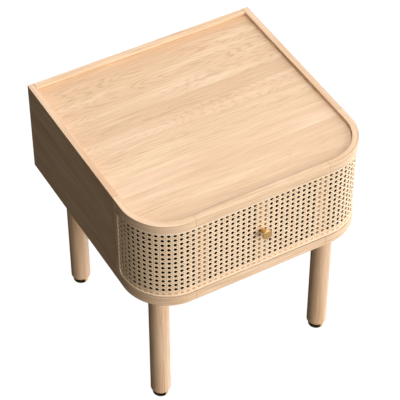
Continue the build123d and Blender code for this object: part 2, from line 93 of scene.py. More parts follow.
# Azimuth and elevation in degrees, distance and size in metres, power in watts, and colour.
soft_lamp("key_lamp", 30.0, 18.0, 9.0, 6.0, 765.0, white)
soft_lamp("front_lamp", -17.0, 20.0, 9.0, 5.0, 240.0, (1.0, 0.96, 0.86))
soft_lamp("right_lamp", 100.0, 12.0, 9.0, 4.5, 330.0, (1.0, 0.98, 0.94))
soft_lamp("back_lamp", 150.0, 25.0, 9.0, 5.0, 220.0, white)
soft_lamp("top_lamp", 60.0, 80.0, 9.0, 5.0, 535.0, white)
cards = (
    soft_lamp("low_front_card", 30.0, -30.0, 0.62, 0.36, 0.22, white),
    soft_lamp("low_right_card", 95.0, -45.0, 2.0, 2.4, 42.0, (1.0, 0.95, 0.85)),
    soft_lamp("high_left_card", -30.0, 70.0, 3.0, 3.0, 100.0, white),
)
for card in cards:
    card.visible_diffuse = False
    card.visible_camera = False

world = bpy.data.worlds.new("studio_room")
scene.world = world
world.use_nodes = True
room = world.node_tree
sky = room.nodes["Background"]
sky.inputs["Color"].default_value = room_colour
sky.inputs["Strength"].default_value = room_strength
backdrop = add(room, "Background", {"Color": white + (1.0,), "Strength": 1.0})
seen = add(room, "LightPath").outputs["Is Camera Ray"]
both = add(room, "MixShader", {0: seen, 1: sky.outputs[0], 2: backdrop.outputs[0]})
room.links.new(both.outputs[0], room.nodes["World Output"].inputs["Surface"])

bpy.ops.mesh.primitive_plane_add(size=30.0, location=(0.0, 0.0, -floor_drop))
floor = bpy.context.object
floor.name = "studio_floor"
floor_paint = bpy.data.materials.new("pale_floor")
floor_paint.use_nodes = True
paint = floor_paint.node_tree.nodes["Principled BSDF"]
paint.inputs["Base Color"].default_value = (0.05, 0.05, 0.05, 1.0)
paint.inputs["Roughness"].default_value = 0.9
paint.inputs["Emission Color"].default_value = floor_colour
paint.inputs["Emission Strength"].default_value = floor_glow
floor.data.materials.append(floor_paint)
floor.visible_diffuse = False
floor.visible_glossy = False
floor.visible_shadow = False

bpy.ops.object.camera_add(location=camera_place)
camera = bpy.context.object
camera.name = "studio_camera"
level = math.cos(camera_dip)
sight = Vector((math.sin(camera_heading) * level, math.cos(camera_heading) * level, -math.sin(camera_dip)))
camera.rotation_euler = sight.to_track_quat("-Z", "Y").to_euler()
camera.data.lens = camera_lens
camera.data.sensor_width = 36.0
scene.camera = camera


# Oak case: side boards with the grain running front to back, a narrow post in front of each, and a
# rail round the top and bottom that turns both front corners. The pieces are doweled and glued, and
# finished with a clear matt lacquer over pale, slightly pink oak.
corner_radius = 0.088
hairline = 0.0004
lacquer_shine = 0.15
# Painted shade: frame wood more than this depth behind its front is painted near black, with a short fade.
shade_depth = 0.004
shade_fade = 0.0003
shade_black = (0.006, 0.004, 0.003, 1.0)
pale_oak = (0.80, 0.56, 0.375, 1.0)
light_oak = (0.82, 0.585, 0.405, 1.0)
warm_oak = (0.74, 0.49, 0.31, 1.0)
brown_oak = (0.52, 0.31, 0.17, 1.0)
pore_oak = (0.36, 0.20, 0.10, 1.0)
blond_oak = (0.90, 0.70, 0.50, 1.0)


def corners(name):
    """The lowest and highest corners of a node, to a hundredth of a millimetre."""
    return [[round(value, 5) for value in place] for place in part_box(name)]


side_low, side_high = corners("side_panel_right")
rail_low, rail_high = corners("upper_front_rail")
back_low, back_high = corners("back_upper_rail")
tray_z = corners("top_panel")[1][2]
half_width = side_high[0]
front_face_y = rail_low[1]
corner_turn_x = half_width - corner_radius
corner_turn_y = front_face_y + corner_radius


def maths(tree, operation, *values):
    """One Math node, with its values in order."""
    return add(tree, "Math", dict(enumerate(values)), operation=operation).outputs[0]


def mixed(tree, share, first, second):
    """The first colour, with this share of the second mixed into it."""
    return add(tree, "Mix", {0: share, 6: first, 7: second}, data_type="RGBA").outputs[2]


def spread(tree, value, low, high, to_low=0.0, to_high=1.0):
    """Takes low..high smoothly to to_low..to_high, and holds it there outside."""
    numbers = {0: value, 1: low, 2: high, 3: to_low, 4: to_high}
    return add(tree, "MapRange", numbers, interpolation_type="SMOOTHSTEP").outputs[0]


def figure(tree, space, length, width, detail, seed):
    """Marks drawn out along the grain, of this length and width in metres."""
    scale = (1.0 / length, 1.0 / width, 1.0 / width)
    drawn = add(tree, "VectorMath", {0: space, 1: scale}, operation="MULTIPLY").outputs[0]
    numbers = {"Vector": drawn, "W": seed, "Scale": 1.0, "Detail": detail}
    return add(tree, "TexNoise", numbers, noise_dimensions="4D").outputs["Fac"]


def straight_space(tree, direction):
    """Object coordinates turned so that the first one runs along the board."""
    turns = {"X": (0.0, 0.0, 0.0), "Y": (0.0, 0.0, math.pi / 2), "Z": (0.0, math.pi / 2, 0.0)}
    place = add(tree, "TexCoord").outputs["Object"]
    return add(tree, "Mapping", {"Vector": place, "Rotation": turns[direction]}).outputs[0]


def bent_space(tree):
    """Coordinates that follow the front and both rounded corners: along, in from the face, and up."""
    place = add(tree, "TexCoord").outputs["Object"]
    x, y, z = add(tree, "SeparateXYZ", {0: place}).outputs
    wide = maths(tree, "ABSOLUTE", x)
    out = maths(tree, "MAXIMUM", maths(tree, "SUBTRACT", wide, corner_turn_x), 0.0)
    fore = maths(tree, "MAXIMUM", maths(tree, "SUBTRACT", corner_turn_y, y), 0.0)
    back = maths(tree, "MAXIMUM", maths(tree, "SUBTRACT", y, corner_turn_y), 0.0)
    turned = maths(tree, "MULTIPLY", maths(tree, "ARCTAN2", out, fore), corner_radius)
    along = maths(tree, "ADD", maths(tree, "MINIMUM", wide, corner_turn_x), maths(tree, "ADD", turned, back))
    signed = maths(tree, "MULTIPLY", along, maths(tree, "SIGN", x))
    squares = maths(tree, "ADD", maths(tree, "MULTIPLY", out, out), maths(tree, "MULTIPLY", fore, fore))
    across = maths(tree, "SQRT", squares)
    return add(tree, "CombineXYZ", {0: signed, 1: across, 2: z}).outputs[0]


def joint_line(tree, axis, place):
    """1 on the hairline where two pieces meet, on both sides of the case, and 0 elsewhere."""
    here = add(tree, "TexCoord").outputs["Object"]
    value = add(tree, "SeparateXYZ", {0: here}).outputs[axis]
    if axis == 0:
        value = maths(tree, "ABSOLUTE", value)
    distance = maths(tree, "ABSOLUTE", maths(tree, "SUBTRACT", value, place))
    return spread(tree, distance, hairline / 2, hairline * 1.5, 1.0, 0.0)


def wood(name, grain, seed, pale, warm, dark, gap=0.005, ring_share=0.35, line_share=0.3, joints=(),
         rough=0.46, shade_behind=False):
    """Lacquered wood: broad tint, growth rings, streaks, fibres and pores that all follow the grain.
    The grain runs along X, Y or Z, or round the front. The wood can be painted black behind its front
    face, as painted shade."""
    material = bpy.data.materials.new(name)
    material.use_nodes = True
    tree = material.node_tree
    shader = tree.nodes["Principled BSDF"]
    space = bent_space(tree) if grain == "round" else straight_space(tree, grain)
    broad = figure(tree, space, length=0.24, width=0.026, detail=2.0, seed=seed)
    streaks = figure(tree, space, length=0.12, width=0.0042, detail=3.0, seed=seed + 3.1)
    lines = figure(tree, space, length=0.07, width=0.0016, detail=2.0, seed=seed + 5.3)
    fibres = figure(tree, space, length=0.022, width=0.0007, detail=2.0, seed=seed + 6.7)
    pores = figure(tree, space, length=0.006, width=0.0004, detail=1.0, seed=seed + 9.3)
    across = add(tree, "SeparateXYZ", {0: space}).outputs
    drift = maths(tree, "MULTIPLY", broad, 0.03)
    ring_place = maths(tree, "ADD", maths(tree, "ADD", across[1], across[2]), drift)
    ring_wave = maths(tree, "SINE", maths(tree, "MULTIPLY", ring_place, 2 * math.pi / gap))
    rings = maths(tree, "MULTIPLY", spread(tree, ring_wave, 0.1, 1.0), spread(tree, streaks, 0.35, 0.7))
    colour = mixed(tree, spread(tree, broad, 0.35, 0.65), pale, warm)
    colour = mixed(tree, maths(tree, "MULTIPLY", rings, ring_share), colour, dark)
    colour = mixed(tree, spread(tree, streaks, 0.5, 0.7, 0.0, 0.3), colour, dark)
    colour = mixed(tree, spread(tree, lines, 0.5, 0.7, 0.0, line_share), colour, dark)
    colour = mixed(tree, spread(tree, lines, 0.48, 0.3, 0.0, line_share + 0.1), colour, blond_oak)
    colour = mixed(tree, spread(tree, fibres, 0.5, 0.8, 0.0, 0.25), colour, dark)
    dashes = spread(tree, pores, 0.66, 0.74)
    colour = mixed(tree, maths(tree, "MULTIPLY", dashes, 0.35), colour, pore_oak)
    height = maths(tree, "SUBTRACT", maths(tree, "MULTIPLY", fibres, 0.4), dashes)
    for axis, place in joints:
        line = joint_line(tree, axis, place)
        colour = mixed(tree, maths(tree, "MULTIPLY", line, 0.6), colour, pore_oak)
        height = maths(tree, "SUBTRACT", height, line)
    # Painted shade: black behind the front face stands in for the shade inside the drawer front.
    if shade_behind:
        from_turn = add(tree, "SeparateXYZ", {0: bent_space(tree)}).outputs[1]
        shade_from = corner_radius - shade_depth
        behind_shade = spread(tree, from_turn, shade_from - shade_fade, shade_from + shade_fade, 0.97, 0.0)
        colour = mixed(tree, behind_shade, colour, shade_black)
    soft_edge = add(tree, "Bevel", {"Radius": 0.0006}, samples=4).outputs[0]
    bump = add(tree, "Bump", {"Strength": 0.35, "Distance": 0.00012, "Height": height, "Normal": soft_edge})
    tree.links.new(colour, shader.inputs["Base Color"])
    tree.links.new(spread(tree, streaks, 0.3, 0.7, rough - 0.05, rough + 0.08), shader.inputs["Roughness"])
    tree.links.new(bump.outputs[0], shader.inputs["Normal"])
    shader.inputs["Specular IOR Level"].default_value = lacquer_shine
    return material


def dress(material, *names):
    """Gives CAD nodes this material."""
    for name in names:
        nodes[name].data.materials.clear()
        nodes[name].data.materials.append(material)


# A joint is an axis, by number, and a place along it.
side_joint = (1, side_low[1])
rail_joints = ((0, rail_high[0]), side_joint)
back_joints = ((0, back_high[0] - hairline), (2, tray_z + hairline))
side_oak = wood("oak_side_board", "Y", 1.0, light_oak, warm_oak, brown_oak, gap=0.012, ring_share=0.3,
                joints=(side_joint,))
dress(side_oak, "side_panel_left", "side_panel_right")
post_oak = wood("oak_corner_post", "Z", 2.0, pale_oak, warm_oak, brown_oak)
dress(post_oak, "front_post_left", "front_post_right")
upper_oak = wood("oak_upper_rail", "round", 3.0, (0.87, 0.63, 0.435, 1.0), pale_oak, brown_oak,
                 gap=0.007, line_share=0.55, joints=rail_joints)
dress(upper_oak, "upper_front_rail", "upper_corner_rail_left", "upper_corner_rail_right")
lower_oak = wood("oak_lower_rail", "round", 5.0, (0.85, 0.61, 0.415, 1.0), pale_oak, brown_oak,
                 gap=0.007, line_share=0.55, joints=rail_joints)
dress(lower_oak, "lower_front_rail", "lower_corner_rail_left", "lower_corner_rail_right")
back_oak = wood("oak_back_rail", "X", 7.0, pale_oak, light_oak, brown_oak, line_share=0.45,
                joints=back_joints)
dress(back_oak, "back_upper_rail")


# Tray top: one board glued up from oak staves of about 38 mm that run from side to side, set into
# the rim and lacquered. The staves differ: the back ones are tanned and flamed, the front ones plain.
stave_start = 0.24
stave_span = 2 * stave_start
half_stave = 0.019
ring_gap = 0.0052
seed_gap = 60.0
glue_line = 0.0008
# Painted shade at the foot of the back rail starts and ends this far in front of it.
back_shade_start = 0.00185
back_shade_end = 0.00065

# Each stave: the place of its front edge from the case's middle, its tint, how far the heart of its
# rings lies off its own middle and along X, how fast the rings open out, and how strongly they show.
staves = (
    (0.192, (0.73, 0.475, 0.29), 0.010, 0.30, 0.04, 0.55),
    (0.154, (0.755, 0.515, 0.33), -0.002, 0.00, 0.13, 0.85),
    (0.110, (0.767, 0.53, 0.345), 0.004, 0.03, 0.15, 0.80),
    (0.071, (0.787, 0.557, 0.374), 0.003, -0.10, 0.13, 0.60),
    (0.035, (0.725, 0.495, 0.327), -0.008, 0.20, 0.05, 0.60),
    (-0.0046, (0.79, 0.547, 0.37), 0.000, -0.16, 0.24, 0.60),
    (-0.0434, (0.80, 0.571, 0.383), 0.001, 0.02, 0.07, 0.60),
    (-0.0774, (0.81, 0.578, 0.383), 0.016, 0.50, 0.02, 0.50),
    (-0.116, (0.833, 0.592, 0.412), 0.012, 0.40, 0.03, 0.15),
    (-0.154, (0.813, 0.572, 0.39), -0.012, -0.40, 0.03, 0.25),
    (-0.192, (0.823, 0.577, 0.385), 0.017, -0.30, 0.04, 0.40),
    (-0.240, (0.79, 0.552, 0.373), 0.010, 0.30, 0.03, 0.30),
)


def stave_ramp(tree, place, colours):
    """A colour for each stave, which changes sharply at the glue line."""
    node = add(tree, "ValToRGB", {0: place})
    ramp = node.color_ramp
    ramp.interpolation = "CONSTANT"
    while len(ramp.elements) < len(staves):
        ramp.elements.new(0.5)
    for element, stave, colour in zip(ramp.elements, reversed(staves), reversed(colours)):
        element.position = (stave[0] + stave_start) / stave_span
        element.color = colour
    return node.outputs[0]


top_oak = bpy.data.materials.new("oak_tray_staves")
top_oak.use_nodes = True
tree = top_oak.node_tree
shader = tree.nodes["Principled BSDF"]
space = straight_space(tree, "X")
x, y = add(tree, "SeparateXYZ", {0: space}).outputs[:2]
case_y = maths(tree, "SUBTRACT", y, (front_face_y + side_high[1]) / 2)
across_top = maths(tree, "DIVIDE", maths(tree, "ADD", case_y, stave_start), stave_span)
tint = stave_ramp(tree, across_top, [stave[1] + (1.0,) for stave in staves])
hearts = [(stave[0] + half_stave + stave[2] + stave_start) / stave_span for stave in staves]
numbers = [index / len(staves) for index in range(len(staves))]
figures = stave_ramp(tree, across_top, [(h, s[3] + 0.5, s[4], 1.0) for h, s in zip(hearts, staves)])
shares = stave_ramp(tree, across_top, [(s[5], n, 0.0, 1.0) for n, s in zip(numbers, staves)])
heart, heart_x, taper = add(tree, "SeparateColor", {0: figures}).outputs
share, number = add(tree, "SeparateColor", {0: shares}).outputs[:2]
stave_seed = maths(tree, "MULTIPLY", number, seed_gap)
wander = figure(tree, space, length=0.11, width=0.02, detail=2.0, seed=stave_seed)
broad = figure(tree, space, length=0.20, width=0.018, detail=3.0, seed=stave_seed)
streaks = figure(tree, space, length=0.10, width=0.0035, detail=3.0, seed=stave_seed)
lines = figure(tree, space, length=0.07, width=0.0015, detail=2.0, seed=stave_seed)
fibres = figure(tree, space, length=0.022, width=0.0007, detail=2.0, seed=stave_seed)
pores = figure(tree, space, length=0.006, width=0.0004, detail=1.0, seed=stave_seed)
heart_y = maths(tree, "SUBTRACT", maths(tree, "MULTIPLY", heart, stave_span), stave_start)
ring_y = maths(tree, "SUBTRACT", case_y, heart_y)
ring_x = maths(tree, "MULTIPLY", maths(tree, "SUBTRACT", x, maths(tree, "SUBTRACT", heart_x, 0.5)), taper)
ring_x = maths(tree, "ADD", ring_x, maths(tree, "MULTIPLY", maths(tree, "SUBTRACT", wander, 0.5), 0.03))
squares = maths(tree, "ADD", maths(tree, "MULTIPLY", ring_x, ring_x), maths(tree, "MULTIPLY", ring_y, ring_y))
ring_radius = maths(tree, "ADD", maths(tree, "SQRT", squares), maths(tree, "MULTIPLY", broad, 0.012))
ring_wave = maths(tree, "SINE", maths(tree, "MULTIPLY", ring_radius, 2 * math.pi / ring_gap))
rings = maths(tree, "MULTIPLY", spread(tree, ring_wave, 0.0, 1.0), spread(tree, streaks, 0.3, 0.6))
colour = mixed(tree, spread(tree, broad, 0.4, 0.7, 0.0, 0.6), tint, warm_oak)
colour = mixed(tree, maths(tree, "MULTIPLY", rings, maths(tree, "MULTIPLY", share, 0.6)), colour, brown_oak)
colour = mixed(tree, spread(tree, streaks, 0.5, 0.7, 0.0, 0.22), colour, brown_oak)
colour = mixed(tree, spread(tree, broad, 0.48, 0.25, 0.0, 0.6), colour, blond_oak)
colour = mixed(tree, spread(tree, lines, 0.5, 0.7, 0.0, 0.15), colour, brown_oak)
colour = mixed(tree, spread(tree, lines, 0.48, 0.3, 0.0, 0.25), colour, blond_oak)
colour = mixed(tree, spread(tree, fibres, 0.5, 0.8, 0.0, 0.2), colour, brown_oak)
dashes = spread(tree, pores, 0.66, 0.74)
colour = mixed(tree, maths(tree, "MULTIPLY", dashes, 0.3), colour, pore_oak)
beside = stave_ramp(tree, maths(tree, "ADD", across_top, glue_line), [(n, n, n, 1.0) for n in numbers])
seam = spread(tree, maths(tree, "ABSOLUTE", maths(tree, "SUBTRACT", beside, number)), 0.01, 0.05)
colour = mixed(tree, maths(tree, "MULTIPLY", seam, 0.3), colour, brown_oak)
# Painted shade: a brown band on the board along the foot of the back rail, where the rail shades it.
back_rail_shade = spread(tree, y, back_low[1] - back_shade_start, back_low[1] - back_shade_end, 0.0, 0.75)
colour = mixed(tree, back_rail_shade, colour, brown_oak)
height = maths(tree, "SUBTRACT", maths(tree, "MULTIPLY", fibres, 0.4), maths(tree, "ADD", dashes, seam))
bump = add(tree, "Bump", {"Strength": 0.3, "Distance": 0.0001, "Height": height})
tree.links.new(colour, shader.inputs["Base Color"])
tree.links.new(spread(tree, streaks, 0.3, 0.7, 0.4, 0.52), shader.inputs["Roughness"])
tree.links.new(bump.outputs[0], shader.inputs["Normal"])
shader.inputs["Specular IOR Level"].default_value = lacquer_shine
dress(top_oak, "top_panel")


# Bottom, back and drawer floor: oak-veneered board. The bottom is doweled to the sides, the back is
# screwed on, and the floor slides into a groove. The beech dowels are fluted and unfinished.
veneer = wood("oak_veneer_board", "X", 11.0, (0.72, 0.51, 0.34, 1.0), (0.66, 0.44, 0.28, 1.0), brown_oak,
              gap=0.016, ring_share=0.3, rough=0.55)
dress(veneer, "bottom_panel", "back_panel", "drawer_floor")
beech = wood("beech_dowel", "X", 13.0, (0.74, 0.55, 0.38, 1.0), (0.68, 0.47, 0.31, 1.0),
             (0.5, 0.32, 0.2, 1.0), gap=0.003, rough=0.7)
dress(beech, "rail_dowels", "panel_dowels")


# Legs: four turned oak rods with an eased lower edge, each hung on a bolt from a threaded insert in
# the bottom board. Each stands on a polished bronzed glide, which a pin holds in the leg.
leg_oak = wood("oak_leg", "Z", 17.0, (0.79, 0.545, 0.365, 1.0), (0.73, 0.48, 0.305, 1.0), brown_oak,
               gap=0.007, ring_share=0.4)
leg_places = [f"{end}_{side}" for end in ("front", "back") for side in ("left", "right")]
dress(leg_oak, *["leg_" + place for place in leg_places])


def metal(name, colour, worn, roughness, scratch=(0.02, 0.0006), tarnish=0.02):
    """Metal with fine scratches and cloudy wear in its colour, gloss and surface. A scratch has a length
    and a width, and tarnish is the size of its clouds."""
    material = bpy.data.materials.new(name)
    material.use_nodes = True
    tree = material.node_tree
    shader = tree.nodes["Principled BSDF"]
    place = add(tree, "TexCoord").outputs["Object"]
    clouds = figure(tree, place, length=tarnish, width=tarnish, detail=3.0, seed=1.0)
    marks = figure(tree, place, length=scratch[0], width=scratch[1], detail=2.0, seed=2.0)
    tone = mixed(tree, spread(tree, clouds, 0.4, 0.65, 0.0, 0.6), colour, worn)
    tone = mixed(tree, spread(tree, marks, 0.55, 0.75, 0.0, 0.25), tone, worn)
    tree.links.new(tone, shader.inputs["Base Color"])
    tree.links.new(spread(tree, clouds, 0.3, 0.7, roughness, roughness + 0.12), shader.inputs["Roughness"])
    soft_edge = add(tree, "Bevel", {"Radius": 0.0003}, samples=4).outputs[0]
    bump = add(tree, "Bump", {"Strength": 0.15, "Distance": 0.00003, "Height": marks, "Normal": soft_edge})
    tree.links.new(bump.outputs[0], shader.inputs["Normal"])
    shader.inputs["Metallic"].default_value = 1.0
    return material


glide_bronze = metal("bronzed_glide", (0.30, 0.20, 0.085, 1.0), (0.42, 0.29, 0.13, 1.0), 0.12)
dress(glide_bronze, *["foot_glide_" + place for place in leg_places])
plated = metal("plated_fastener", (0.50, 0.49, 0.47, 1.0), (0.34, 0.33, 0.31, 1.0), 0.3)
dress(plated, "leg_bolts", "threaded_inserts", "back_panel_screws", "slide_case_screws", "drawer_screws",
      "knob_screw")


# Drawer slides: folded zinc-plated channels screwed to the case and the drawer, with a cage of
# polished balls between them.
zinc = metal("zinc_plate", (0.56, 0.57, 0.60, 1.0), (0.40, 0.41, 0.42, 1.0), 0.28, tarnish=0.012)
ball_steel = metal("polished_ball_steel", (0.66, 0.66, 0.68, 1.0), (0.5, 0.5, 0.52, 1.0), 0.08)
for side in ("left", "right"):
    dress(zinc, "slide_case_channel_" + side, "slide_drawer_channel_" + side, "ball_cage_" + side)
    dress(ball_steel, "bearing_balls_" + side)


# Drawer box: pale hardwood boards, glued and screwed at the corners, round a floor held in a groove.
# Two blocks of the same wood tie it to the curved front.
box_tints = ((0.74, 0.56, 0.38, 1.0), (0.68, 0.49, 0.32, 1.0), (0.5, 0.33, 0.2, 1.0))
box_wood = wood("pale_drawer_wood", "Y", 23.0, *box_tints, gap=0.014, ring_share=0.25, rough=0.5)
dress(box_wood, "drawer_side_left", "drawer_side_right")
cross_wood = wood("pale_drawer_end_wood", "X", 27.0, *box_tints, gap=0.014, ring_share=0.25, rough=0.5)
dress(cross_wood, "drawer_back", "drawer_box_front", "drawer_front_spacer_left", "drawer_front_spacer_right")


# Drawer front frame: oak rails bent round both corners, with uprights behind the cane. The rails are
# painted black all but their fronts, the uprights dark brown and black, and the liner cloth over the
# back near black. All of this is painted shade, so that the holes look as dark as the shaded inside of a
# drawer.
frame_oak = wood("oak_front_frame", "round", 31.0, pale_oak, warm_oak, brown_oak, gap=0.006, shade_behind=True)
dress(frame_oak, "drawer_front_upper_rail", "drawer_front_lower_rail")
for side in ("left", "right"):
    dress(frame_oak, "drawer_front_upper_corner_" + side, "drawer_front_lower_corner_" + side)
# Painted shade: the uprights are painted dark brown, the shade that the cane casts on them.
shaded_stile_oak = wood("oak_front_stile_painted_shade", "Z", 33.0, (0.25, 0.13, 0.06, 1.0), (0.19, 0.09, 0.04, 1.0),
                 (0.12, 0.06, 0.025, 1.0), shade_behind=True)
dress(shaded_stile_oak, "drawer_front_centre_stile")
for side in ("left", "right"):
    dress(shaded_stile_oak, "drawer_front_batten_" + side, "drawer_front_end_stile_" + side)

# Painted shade: the liner cloth is painted near black, so that the holes read as the dark inside of the
# drawer.
shade_cloth = bpy.data.materials.new("painted_shade_liner")
shade_cloth.use_nodes = True
tree = shade_cloth.node_tree
shader = tree.nodes["Principled BSDF"]
place = add(tree, "TexCoord").outputs["Object"]
threads = figure(tree, place, length=0.0012, width=0.0012, detail=3.0, seed=2.0)
shade_felt = mixed(tree, spread(tree, threads, 0.35, 0.7), (0.004, 0.003, 0.002, 1.0), (0.012, 0.008, 0.006, 1.0))
fuzz = add(tree, "Bump", {"Strength": 0.5, "Distance": 0.0002, "Height": threads})
tree.links.new(shade_felt, shader.inputs["Base Color"])
tree.links.new(spread(tree, threads, 0.3, 0.7, 0.9, 1.0), shader.inputs["Roughness"])
tree.links.new(fuzz.outputs[0], shader.inputs["Normal"])
shader.inputs["Specular IOR Level"].default_value = 0.1
dress(shade_cloth, "drawer_front_liner")


# End strips: thin oak glued upright between the frame's rails to close each end of the drawer front, so
# that no light shows through the last holes when the drawer is open. They take the uprights' painted
# shade of dark brown and black.
sides = (("left", -1.0), ("right", 1.0))
bead_low, bead_high = corners("cane_bead")
head_low, head_high = corners("drawer_front_upper_corner_right")
foot_z = corners("drawer_front_lower_corner_right")[1][2]
liner_x = corners("drawer_front_liner")[1][0]
strip_gap = 0.0002
strip_thickness = 0.0029
strip_back = bead_high[1] - strip_gap / 2
strip_low = (liner_x, strip_back - strip_thickness, foot_z + strip_gap)
strip_high = (head_high[0] - strip_gap, strip_back, head_low[2] - strip_gap)
strip_middle = [(low + high) / 2 for low, high in zip(strip_low, strip_high)]
for side, sign in sides:
    place = (sign * strip_middle[0], strip_middle[1], strip_middle[2])
    bpy.ops.mesh.primitive_cube_add(size=1.0, location=place)
    strip = bpy.context.object
    strip.name = "drawer_front_end_strip_" + side
    strip.scale = [high - low for low, high in zip(strip_low, strip_high)]
    bpy.ops.object.transform_apply(location=True, rotation=True, scale=True)
    eased = strip.modifiers.new("eased", "BEVEL")
    eased.width = 0.0004
    eased.segments = 2
    bpy.ops.object.modifier_apply(modifier="eased")
    strip.data.materials.append(shaded_stile_oak)
    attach(strip, "drawer")


# Cane webbing: split cane woven in the six-way chair pattern. Pairs of uprights and crossings go over
# and under each other, and two sets of slanting strands lace between them and leave eight-sided holes.
weave_pitch = 0.01106
weave_middle = 0.4015
weave_inset = 0.0025
weave_margin = 0.0018
window_middle = (bead_low[2] + bead_high[2]) / 2
window_height = bead_high[2] - bead_low[2]
window_end_y = bead_high[1]
end_corner = 0.0138
strand_pair = 0.00135
strand_width = 0.00175
strand_thickness = 0.0003
strand_crown = 0.0001
strand_steps = 8
upright_lift = 0.0002
slant_lift = 0.00034
half_columns = 26
half_rows = 7
slant_overrun = 16
corner_cut_angle = 15
nearly_zero = 0.001
round_handle = 0.55228
end_handle = 0.005
front_handle = 0.05


def front_path(name, inset):
    """The line that the drawer front follows, from its left end round both corners to its right end.
    A curve's handle is round_handle times the radius where it makes a quarter circle."""
    bpy.ops.curve.primitive_bezier_curve_add(enter_editmode=True)
    bpy.ops.curve.subdivide(number_cuts=4)
    bpy.ops.object.mode_set(mode="OBJECT")
    path = bpy.context.object
    path.name = name
    path.data.twist_mode = "Z_UP"
    path.data.resolution_u = 64
    wide = half_width - inset
    fore = front_face_y + inset
    turn_x = corner_turn_x
    turn_y = corner_turn_y
    reach = (corner_radius - inset) * round_handle
    half = (
        ((wide, window_end_y), (wide, window_end_y + end_handle), (wide, window_end_y - end_handle)),
        ((wide, turn_y), (wide, turn_y + end_handle), (wide, turn_y - reach)),
        ((turn_x, fore), (turn_x + reach, fore), (turn_x - front_handle, fore)),
    )
    points = [[(-x, y, 0.0) for x, y in place] for place in half]
    points += [[(x, y, 0.0) for x, y in (place[0], place[2], place[1])] for place in reversed(half)]
    for point, (centre, before, after) in zip(path.data.splines[0].bezier_points, points):
        point.handle_left_type = "FREE"
        point.handle_right_type = "FREE"
        point.co = centre
        point.handle_left = before
        point.handle_right = after
    length = 2 * (window_end_y - turn_y) + math.pi * (corner_radius - inset) + 2 * turn_x
    return path, length


def array(piece, count, step):
    """Repeats a piece along a straight step, and merges the ends that meet."""
    copies = piece.modifiers.new("repeat", "ARRAY")
    copies.count = count
    copies.use_relative_offset = False
    copies.use_constant_offset = True
    copies.constant_offset_displace = step
    copies.use_merge_vertices = True
    copies.merge_threshold = 0.00001
    return copies


def trim(piece, planes):
    """Cuts away all that lies beyond each plane, given by a point on it and its outward direction."""
    bpy.ops.object.mode_set(mode="EDIT")
    for point, outward in planes:
        bpy.ops.mesh.select_all(action="SELECT")
        bpy.ops.mesh.bisect(plane_co=point, plane_no=outward, clear_outer=True, threshold=0.000001)
    bpy.ops.object.mode_set(mode="OBJECT")


def window_planes(length, margin):
    """The flat outline of the drawer front less a margin, its rounded corners as short straight cuts."""
    half_length = length / 2 - margin
    half_height = window_height / 2 - margin
    planes = []
    for turn in range(0, 360, corner_cut_angle):
        angle = math.radians(turn)
        outward = Vector((math.cos(angle), math.sin(angle), 0.0))
        radius = end_corner - margin
        corner_x = math.copysign(half_length - radius, outward.x) if abs(outward.x) > nearly_zero else 0.0
        corner_y = math.copysign(half_height - radius, outward.y) if abs(outward.y) > nearly_zero else 0.0
        corner = Vector((corner_x, corner_y, 0.0))
        planes.append((corner + outward * radius + Vector((0.0, window_middle - weave_middle, 0.0)), outward))
    return planes


def pull(piece, chosen, rise):
    """Lifts the chosen points of a piece."""
    for vertex in piece.data.vertices:
        vertex.select = chosen(vertex.co)
    bpy.ops.object.mode_set(mode="EDIT")
    bpy.ops.transform.translate(value=(0.0, 0.0, rise))
    bpy.ops.mesh.select_all(action="DESELECT")
    bpy.ops.object.mode_set(mode="OBJECT")


def strand(name, cell, lift, waves):
    """One pitch of split cane along X: it dips under and rises over its neighbours, and its crown is
    proud of its edges."""
    bpy.ops.mesh.primitive_grid_add(x_subdivisions=strand_steps, y_subdivisions=2, size=1.0, calc_uvs=True)
    piece = bpy.context.object
    piece.name = name
    bpy.ops.transform.resize(value=(cell, strand_width, 1.0))
    bpy.ops.object.transform_apply(location=False, rotation=False, scale=True)
    for step in range(strand_steps + 1):
        along = cell * (step / strand_steps - 0.5)
        rise = lift * waves(2 * math.pi * along / cell)
        pull(piece, lambda place: abs(place.x - along) < cell / 40, rise)
    pull(piece, lambda place: abs(place.y) < strand_width / 40, strand_crown)
    return piece


def wrap(piece, path, length, middle):
    """Stands a flat piece up, carries it round the drawer front at this height, and shades it smooth."""
    bpy.ops.object.select_all(action="DESELECT")
    piece.select_set(True)
    bpy.context.view_layer.objects.active = piece
    piece.rotation_euler = (math.pi / 2, 0.0, 0.0)
    piece.location = (length / 2, 0.0, middle)
    bpy.ops.object.transform_apply(location=True, rotation=True, scale=True)
    bend = piece.modifiers.new("bend", "CURVE")
    bend.object = path
    bend.deform_axis = "POS_X"
    bpy.ops.object.modifier_apply(modifier="bend")
    bpy.ops.object.shade_smooth_by_angle(angle=math.radians(50.0))


def weave(piece, along, across, path, length):
    """Repeats a strand into a layer of the sheet, trims it to the window and wraps it round the front."""
    for count, step, shift in (along, across):
        copies = array(piece, count, step)
        copies.offset_u = shift[0]
        copies.offset_v = shift[1]
        bpy.ops.object.modifier_apply(modifier=copies.name)
    trim(piece, window_planes(length, weave_margin))
    solid = piece.modifiers.new("thickness", "SOLIDIFY")
    solid.thickness = strand_thickness
    solid.offset = 0.0
    bpy.ops.object.modifier_apply(modifier=solid.name)
    wrap(piece, path, length, weave_middle)


